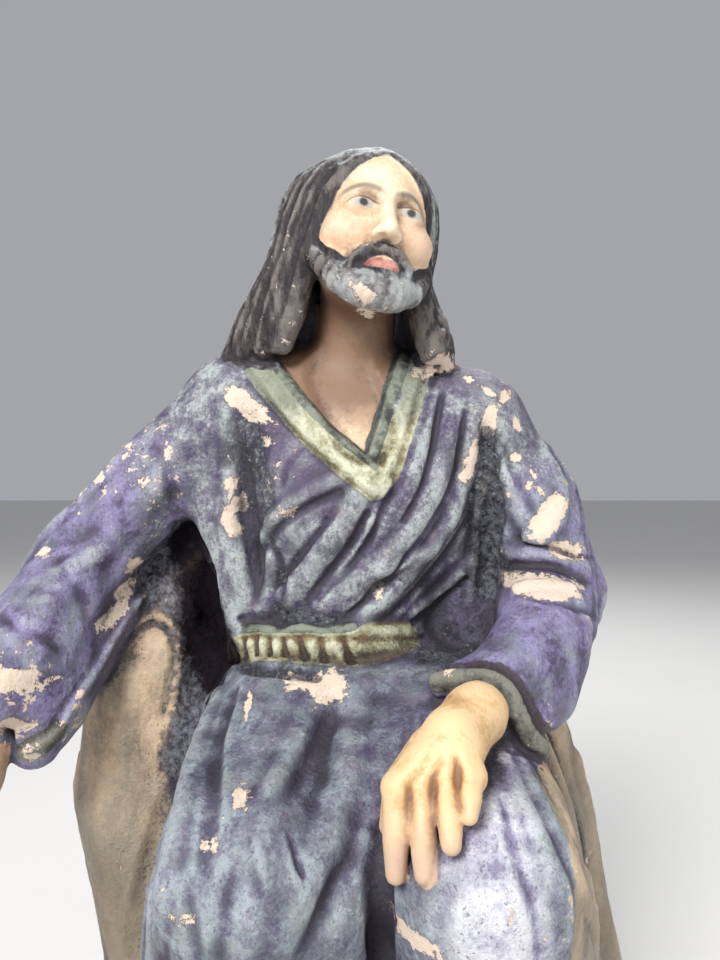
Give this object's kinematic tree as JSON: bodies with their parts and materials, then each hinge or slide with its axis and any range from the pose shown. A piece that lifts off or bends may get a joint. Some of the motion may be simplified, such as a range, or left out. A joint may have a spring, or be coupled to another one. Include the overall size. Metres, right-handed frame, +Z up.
{
  "type": "nativity figure",
  "caption": "Small painted terracotta figure of a seated bearded man in a belted robe, one arm held out and down, one hand on the knee, on a low base; stands on a shelf or in a display.",
  "frame": {"origin": "on the flat underside of the base, under the middle of the seat", "axes": "+Z up, the figure faces -Y, its left hand is on +X"},
  "size_m": [0.0855, 0.0668, 0.1194],
  "materials": {
    "painted_terracotta": "matte"
  },
  "bodies": {
    "root": {"seated_figure": "painted_terracotta"}
  },
  "joints": []
}
